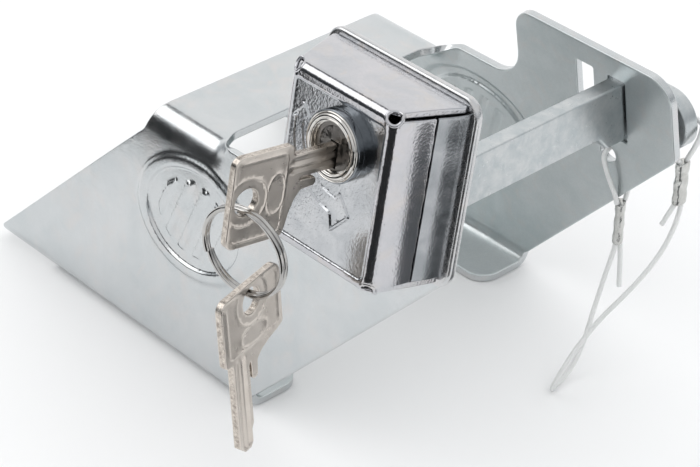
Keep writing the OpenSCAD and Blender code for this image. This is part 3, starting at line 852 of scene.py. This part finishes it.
walls = []
for s in (-1, 1):
    outline = rounded((5.2, 0, 0.3), (48.2, 0, 0.3), (48.4, WALL_W, 0.2), (5.4, WALL_W, 0.2))
    walls.append(plate(
        f"tray_wall_{'right' if s > 0 else 'left'}", [outline], grid(5, 49, 0, WALL_W, 0.9), wall_place(s),
        lambda u, v: 0.3 * ease(v / 3) * ease((WALL_W - v) / 4) - 0.05 * np.sin(0.5 * u), flat_at(-COVER), SIDE,
        edge=0.25,
    ))
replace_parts(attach(rim, "box"), "box_tray")
for o in (rim, *walls):
    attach(o, "box")

# ---------------------------------------------------------------- cylinder
def on_axis(a, b, n):
    """The row frame's place of (a, b) across the key cylinder's axis, at n along it."""
    return on_near(CYL_X + a, CYL_U + b, n)


collar = lathe("cylinder_collar", [
    (8.05, 21), (8.95, 21.6), (9.0, 22.6), (9.0, 23.35), (8.88, 23.42), (8.88, 23.52), (9.0, 23.6), (9.0, 24.9),
    (8.96, 25.2), (8.8, 25.4), (8.3, 25.42), (8.1, 25.3), (8.05, 24),
], on_axis, COLLAR, n=128, sharp=24, closed=True)
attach(collar, "box")
bezel = lathe("cylinder_head", [
    (8.6, 25), (8.66, 25.3), (8.58, 25.62), (8.42, 25.74), (8.28, 25.66), (8.2, 25.56), (8.06, 25.6), (7.95, 25.8),
    (7.7, 26.02), (7.4, 26.1), (7.1, 26.02), (6.98, 25.9), (6.86, 25.9), (6.7, 26.0), (6.5, 26.02), (6.36, 25.9),
    (6.3, 25.5), (6.28, 24.4), (6.28, 21), (7.8, 21),
], on_axis, NICKEL, n=128, sharp=24, closed=True)
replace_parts(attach(bezel, "box"), "bezel_ring")


keyway = rounded((-1.4, -5.5, 0.15), (1.4, -5.5, 0.15), (1.4, 1.3, 0.15), (-1.4, 1.3, 0.15))
face_points = np.concatenate([grid(-6, 6, -6, 6, 0.9), *[np.array(circle(0, 0, r, 60)) for r in (5.6, 5.3, 5.0)]])
plug_face = plate(
    "plug_face", [circle(0, 0, 5.95, 72), keyway], face_points, on_axis,
    lambda a, b: 24.6 - 0.22 * ease((np.hypot(a, b) - 5.05) / 0.45), flat_at(23.2), PLUG, edge=0.12,
)
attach(plug_face, "core")

# ---------------------------------------------------------------- keys
KEY_T, BOW_L, BOW_W, BLADE_L, BLADE_W = 2.2, 18.0, 23.5, 26.0, 6.2
HOLE_IN, HOLE_D = 4.7, 6.9
TOP_Y_KEY = BOW_W / 2 - 3.8 - 2.1 + BLADE_W / 2
END_X = BOW_L + BLADE_L
key_outline = rounded(
    (0, -BOW_W / 2, 2.6), (0, BOW_W / 2, 2.6), (BOW_L, BOW_W / 2, 1.4), (BOW_L, TOP_Y_KEY, 0.8),
    (END_X - 2, TOP_Y_KEY, 0.4), (END_X, TOP_Y_KEY - 2, 0.6), (END_X, TOP_Y_KEY - 4.4, 0.4),
    (END_X - 1.4, TOP_Y_KEY - 5.4, 0.3),
    (END_X - 5, TOP_Y_KEY - 5.4, 0.3), (END_X - 6.4, TOP_Y_KEY - BLADE_W, 0.3), (BOW_L + 3.4, TOP_Y_KEY - BLADE_W, 0.2),
    (BOW_L + 2.6, TOP_Y_KEY - BLADE_W - 0.4, 0.15), (BOW_L + 3, TOP_Y_KEY - 6.9, 0.15),
    (BOW_L + 7.4, TOP_Y_KEY - 7.1, 0.3),
    (BOW_L + 8, TOP_Y_KEY - 7.7, 0.3), (BOW_L + 8, TOP_Y_KEY - 8.7, 0.3), (BOW_L + 7.4, TOP_Y_KEY - 9.3, 0.3),
    (BOW_L + 3.4, TOP_Y_KEY - 9.6, 1), (BOW_L + 1.8, TOP_Y_KEY - 11.8, 2), (BOW_L + 0.6, TOP_Y_KEY - 15, 3),
    (BOW_L, TOP_Y_KEY - 18, 3), (BOW_L - 1, -BOW_W / 2, 1.2), step=12,
)
bow_line = rounded(
    (1.7, -BOW_W / 2 + 1.7, 1.6), (1.7, BOW_W / 2 - 1.7, 1.6), (BOW_L - 1.6, BOW_W / 2 - 1.7, 1),
    (BOW_L - 2.6, -BOW_W / 2 + 1.7, 1), step=12,
)


def key_relief(x, y):
    """Thin raised lines along the border, round the hole and in a plain oval, and grooves along the blade."""
    edge = box_gap(x - BOW_L / 2 + 0.4, y, BOW_L - 3, BOW_W - 3.2, 1.6)
    rho = np.hypot(x - HOLE_IN, y)
    oval = (np.hypot((x - 13.6) / 2.7, (y - 0.2) / 5.2) - 1) * 3.2
    h = np.zeros(len(x))
    for gap in (np.where(rho > 6, edge, 9), rho - 6.1, np.where(rho > 6.5, oval, 9)):
        h = np.maximum(h, ease(1.5 - np.abs(gap) / 0.2))
    blade = ease((x - BOW_L + 0.8) / 1.5) * (x < END_X - 1)
    groove = 0.62 * ease(1.4 - np.abs(y - TOP_Y_KEY + 4.1) / 0.55)
    groove = groove + 0.3 * ease(1.4 - np.abs(y - TOP_Y_KEY + 1.9) / 0.6)
    return KEY_T / 2 - 0.08 + 0.13 * h * (x < BOW_L) - groove * blade


oval_line = circle(13.6, 0.2, 2.7, 60, 5.2)
key_points = np.concatenate([
    grid(0, BOW_L, -BOW_W / 2, BOW_W / 2, 1), grid(BOW_L, END_X, 2, BOW_W / 2, 0.4),
    beside(bow_line, (-0.3, -0.1, 0.1, 0.3)),
    *[np.array(circle(HOLE_IN, 0, r, 80)) for r in (5.8, 6.0, 6.2, 6.4)],
    beside(oval_line, (-0.3, -0.1, 0.1, 0.3)),
])


def in_lock(x, y, h):
    """The working key: x runs from the bow's outer end to the tip, y upwards."""
    return on_axis(h, y - BOW_W / 2 + 3.8, 38 + BOW_L - x)


SPARE_HOLE = Vector((67.0, -88.167, 74.732))
hang = Matrix.Rotation(math.radians(14.7), 3, "Z") @ Matrix.Rotation(math.radians(-4.5), 3, "Y")


def hanging(x, y, h):
    """The spare key: it hangs by its hole from the ring."""
    flat = np.stack([h, -y, HOLE_IN - x], 1)
    return flat @ np.array(hang).T + np.array(SPARE_HOLE)


def make_key(name, place):
    return plate(name, [key_outline, circle(HOLE_IN, 0, HOLE_D / 2, 48)], key_points, place, key_relief,
                 lambda x, y: -key_relief(x, y), KEY, edge=0.3, cut=KEY_EDGE_SPECKLE_AND_GLINTS)


key = make_key("key_in_lock", in_lock)
spare = make_key("key_hanging", hanging)
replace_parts(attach(key, "key"), "key")
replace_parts(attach(spare, "spare"), "spare_key")

# ---------------------------------------------------------------- ring
RING_C, RING_R, WIRE_D, RING_TURN = (66.8, -88.967, 88.432), 11.35, 1.3, math.radians(10.8)


def ring_point(angle, off):
    """A point on the ring, off to the side of its middle plane."""
    x, z = RING_R * math.cos(angle), RING_R * math.sin(angle)
    return (RING_C[0] + x * math.cos(RING_TURN) + off * math.sin(RING_TURN),
            RING_C[1] + x * math.sin(RING_TURN) - off * math.cos(RING_TURN), RING_C[2] + z)


# Two turns side by side, with the step between them in the middle
turns = []
for i in range(361):
    a = 4 * math.pi * i / 360 + math.radians(200)
    f = i / 360
    turns.append(ring_point(a, (f - 0.5) * 0.2 + math.tanh((f - 0.5) * 14) * 0.56))
ring = tube("split_ring", turns, WIRE_D / 2, WIRE, 16)
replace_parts(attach(ring, "ring"), "key_ring")

# ---------------------------------------------------------------- parts kept from the frame
KEPT = {
    "cylinder_housing": NICKEL, "cylinder_nut": DULL, "tooth_washer": DULL, "plug": PLUG, "wafers": BRASS,
    "wafer_springs": WIRE, "retaining_clip": DULL, "cam": DULL, "cam_washer": DULL, "cam_nut": DULL,
}
for name, mat in KEPT.items():
    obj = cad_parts[name]
    for i in range(max(1, len(obj.material_slots))):
        if obj.material_slots:
            obj.material_slots[i].material = mat
        else:
            obj.data.materials.append(mat)

# ---------------------------------------------------------------- floor, world and light
floor_mat, floor_tree, floor_shader, floor_where = material("floor_paper")
floor_tree.links.new(
    mixed(floor_tree, noise_at(floor_tree, floor_where, 400, 2), (0.86, 0.865, 0.87), (0.89, 0.89, 0.89)),
    floor_shader.inputs["Base Color"])
floor_shader.inputs["Roughness"].default_value = 0.9
FAR, FLOOR_Z = 6000, -0.1
floor = build("floor", [(x, y, FLOOR_Z) for x, y in ((-FAR, -FAR), (FAR, -FAR), (FAR, FAR), (-FAR, FAR))],
              [(0, 1, 2, 3)], floor_mat)


def cloth(name, a, b):
    """A matt cloth that varies between the tones a and b."""
    mat, tree, shader, where = material(name)
    tree.links.new(mixed(tree, noise_at(tree, where, 30, 2), a, b), shader.inputs["Base Color"])
    shader.inputs["Roughness"].default_value = 0.9
    return mat


card_mat = cloth("flag_cloth", (0.010, 0.011, 0.012), (0.02, 0.02, 0.021))
grey_mat = cloth("flag_grey", (0.07, 0.075, 0.08), (0.11, 0.115, 0.12))


def flag(name, foot, face, width, low, high):
    """A dark studio flag that only shows in reflections."""
    side = Vector((-face[1], face[0], 0)).normalized() * width / 2
    a, b = Vector(foot) - side, Vector(foot) + side
    obj = build(name, [(a.x, a.y, low), (b.x, b.y, low), (b.x, b.y, high), (a.x, a.y, high)], [(0, 1, 2, 3)], card_mat)
    hide(obj)


def hide(obj):
    """Leaves the object in reflections only."""
    obj.visible_camera = obj.visible_diffuse = obj.visible_shadow = False


flag("flag_front", (144, -168, 0), (0.52, -0.85), 150, 5, 120)
flag("flag_left", (-170, -181, 0), (-0.645, -0.764), 180, 5, 130)
flag_low = build("flag_low", [(115, -42, 1), (300, -5, 1), (300, 60, 1), (200, 40, 1), (115, 40, 1)],
                 [(0, 1, 2, 3, 4)], grey_mat)
hide(flag_low)

world = bpy.data.worlds.new("studio")
bpy.context.scene.world = world
world.use_nodes = True
sky = world.node_tree
toward = sky.nodes.new("ShaderNodeTexCoord").outputs["Generated"]


def patch(aim, full, edge):
    """1 within full degrees of the direction aim, fading to 0 at edge degrees."""
    aim = Vector(aim).normalized()
    dot = add(sky, "ShaderNodeVectorMath", Vector=toward)
    dot.operation = "DOT_PRODUCT"
    dot.inputs[1].default_value = aim
    out = add(sky, "ShaderNodeMapRange", From_Min=math.cos(math.radians(edge)), From_Max=math.cos(math.radians(full)))
    out.interpolation_type = "SMOOTHSTEP"
    sky.links.new(dot.outputs["Value"], out.inputs["Value"])
    return out.outputs[0]


height = add(sky, "ShaderNodeSeparateXYZ", Vector=toward).outputs["Z"]
studio = mixed(sky, spread(sky, height, -0.12, -0.02, 0, 1), (0.86, 0.885, 0.90), (0.42, 0.44, 0.46))
studio = mixed(sky, spread(sky, height, 0.1, 0.5, 0, 1), studio, (0.85, 0.86, 0.87))
# A bright wall at the back left, a dark line above it, the main light, and a dark wall low on the near side
for aim, full, edge, tone in (
    ((-0.61, 0.66, 0.45), 34, 48, (1.08, 1.08, 1.08)),
    ((-0.683, 0.178, 0.709), 4, 10, (0.08, 0.08, 0.09)),
    ((-0.61, -0.36, 0.70), 20, 26, (2.0, 2.0, 2.0)),
    ((-0.62, -0.76, 0.14), 14, 26, (0.05, 0.055, 0.06)),
):
    studio = mixed(sky, patch(aim, full, edge), studio, tone)
rays = sky.nodes.new("ShaderNodeLightPath")
shown = mixed(sky, rays.outputs["Is Diffuse Ray"], studio, (1.25, 1.255, 1.26))
shown = mixed(sky, rays.outputs["Is Camera Ray"], shown, (1.0, 1.0, 1.0))
sky.links.new(shown, sky.nodes["Background"].inputs["Color"])
bpy.context.scene.view_settings.view_transform = "Standard"
